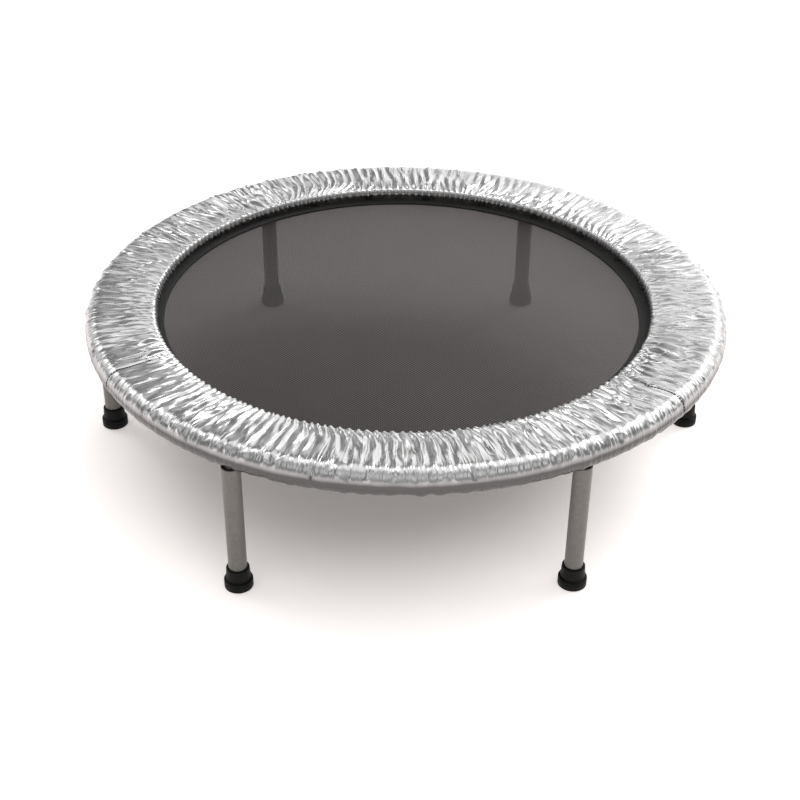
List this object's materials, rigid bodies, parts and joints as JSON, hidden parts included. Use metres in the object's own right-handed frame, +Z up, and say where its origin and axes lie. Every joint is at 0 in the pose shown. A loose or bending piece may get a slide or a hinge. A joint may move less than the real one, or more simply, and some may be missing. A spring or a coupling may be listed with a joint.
{
  "type": "mini trampoline",
  "caption": "Round mini trampoline: sprung mesh mat in a tube ring on screw-on legs with rubber feet, under a padded silver cover.",
  "frame": {"origin": "on the floor, under the middle of the mat", "axes": "+Z up, +X through the axis of leg 1; legs 1 to 6 follow anticlockwise seen from above"},
  "size_m": [0.9278, 0.921, 0.2345],
  "materials": {
    "frame_paint": "satin",
    "leg_paint": "satin",
    "foam": "matt",
    "silver_vinyl": "metallised",
    "elastic": "woven",
    "spring_steel": "galvanised",
    "plated_wire": "zinc plated",
    "raw_steel": "blackened",
    "mat_mesh": "open weave",
    "webbing": "woven",
    "washer_plastic": "matt",
    "foot_rubber": "matt"
  },
  "bodies": {
    "frame": {"frame_ring": "frame_paint", "foam_pad": "foam", "cover_skin": "silver_vinyl", "inner_elastic": "elastic", "outer_elastic": "elastic", "springs": "spring_steel", "leg_socket_1": "raw_steel", "leg_socket_2": "raw_steel", "leg_socket_3": "raw_steel", "leg_socket_4": "raw_steel", "leg_socket_5": "raw_steel", "leg_socket_6": "raw_steel"},
    "mat": {"mat_fabric": "mat_mesh", "mat_border": "webbing", "mat_loops": "webbing", "v_rings": "plated_wire"},
    "washer_1": {"leg_washer_1": "washer_plastic"},
    "leg_1": {"leg_tube_1": "leg_paint", "leg_plug_1": "raw_steel", "leg_stud_1": "plated_wire", "foot_1": "foot_rubber"},
    "washer_2": {"leg_washer_2": "washer_plastic"},
    "leg_2": {"leg_tube_2": "leg_paint", "leg_plug_2": "raw_steel", "leg_stud_2": "plated_wire", "foot_2": "foot_rubber"},
    "washer_3": {"leg_washer_3": "washer_plastic"},
    "leg_3": {"leg_tube_3": "leg_paint", "leg_plug_3": "raw_steel", "leg_stud_3": "plated_wire", "foot_3": "foot_rubber"},
    "washer_4": {"leg_washer_4": "washer_plastic"},
    "leg_4": {"leg_tube_4": "leg_paint", "leg_plug_4": "raw_steel", "leg_stud_4": "plated_wire", "foot_4": "foot_rubber"},
    "washer_5": {"leg_washer_5": "washer_plastic"},
    "leg_5": {"leg_tube_5": "leg_paint", "leg_plug_5": "raw_steel", "leg_stud_5": "plated_wire", "foot_5": "foot_rubber"},
    "washer_6": {"leg_washer_6": "washer_plastic"},
    "leg_6": {"leg_tube_6": "leg_paint", "leg_plug_6": "raw_steel", "leg_stud_6": "plated_wire", "foot_6": "foot_rubber"}
  },
  "joints": [
    {"name": "mat_bounce", "type": "slide", "parent": "frame", "child": "mat", "axis": [0, 0, -1], "range_m": [0, 0.1], "stiffness_N_per_m": 12000, "deforming": ["springs"]},
    {"name": "leg_drop_1", "type": "slide", "parent": "frame", "child": "washer_1", "axis": [0, 0, -1], "range_m": [0, 0.021]},
    {"name": "leg_screw_1", "type": "hinge", "parent": "washer_1", "child": "leg_1", "pos_m": [0.4445, 0, 0.1], "axis": [0, 0, -1], "range_deg": [0, 4325]},
    {"name": "leg_drop_2", "type": "slide", "parent": "frame", "child": "washer_2", "axis": [0, 0, -1], "range_m": [0, 0.021]},
    {"name": "leg_screw_2", "type": "hinge", "parent": "washer_2", "child": "leg_2", "pos_m": [0.22225, 0.38495, 0.1], "axis": [0, 0, -1], "range_deg": [0, 4325]},
    {"name": "leg_drop_3", "type": "slide", "parent": "frame", "child": "washer_3", "axis": [0, 0, -1], "range_m": [0, 0.021]},
    {"name": "leg_screw_3", "type": "hinge", "parent": "washer_3", "child": "leg_3", "pos_m": [-0.22225, 0.38495, 0.1], "axis": [0, 0, -1], "range_deg": [0, 4325]},
    {"name": "leg_drop_4", "type": "slide", "parent": "frame", "child": "washer_4", "axis": [0, 0, -1], "range_m": [0, 0.021]},
    {"name": "leg_screw_4", "type": "hinge", "parent": "washer_4", "child": "leg_4", "pos_m": [-0.4445, 0, 0.1], "axis": [0, 0, -1], "range_deg": [0, 4325]},
    {"name": "leg_drop_5", "type": "slide", "parent": "frame", "child": "washer_5", "axis": [0, 0, -1], "range_m": [0, 0.021]},
    {"name": "leg_screw_5", "type": "hinge", "parent": "washer_5", "child": "leg_5", "pos_m": [-0.22225, -0.38495, 0.1], "axis": [0, 0, -1], "range_deg": [0, 4325]},
    {"name": "leg_drop_6", "type": "slide", "parent": "frame", "child": "washer_6", "axis": [0, 0, -1], "range_m": [0, 0.021]},
    {"name": "leg_screw_6", "type": "hinge", "parent": "washer_6", "child": "leg_6", "pos_m": [0.22225, -0.38495, 0.1], "axis": [0, 0, -1], "range_deg": [0, 4325]}
  ],
  "couplings": [
    {"joint": "leg_screw_1", "follows": "leg_drop_1", "rad_per_m": 3590.4},
    {"joint": "leg_screw_2", "follows": "leg_drop_2", "rad_per_m": 3590.4},
    {"joint": "leg_screw_3", "follows": "leg_drop_3", "rad_per_m": 3590.4},
    {"joint": "leg_screw_4", "follows": "leg_drop_4", "rad_per_m": 3590.4},
    {"joint": "leg_screw_5", "follows": "leg_drop_5", "rad_per_m": 3590.4},
    {"joint": "leg_screw_6", "follows": "leg_drop_6", "rad_per_m": 3590.4}
  ]
}
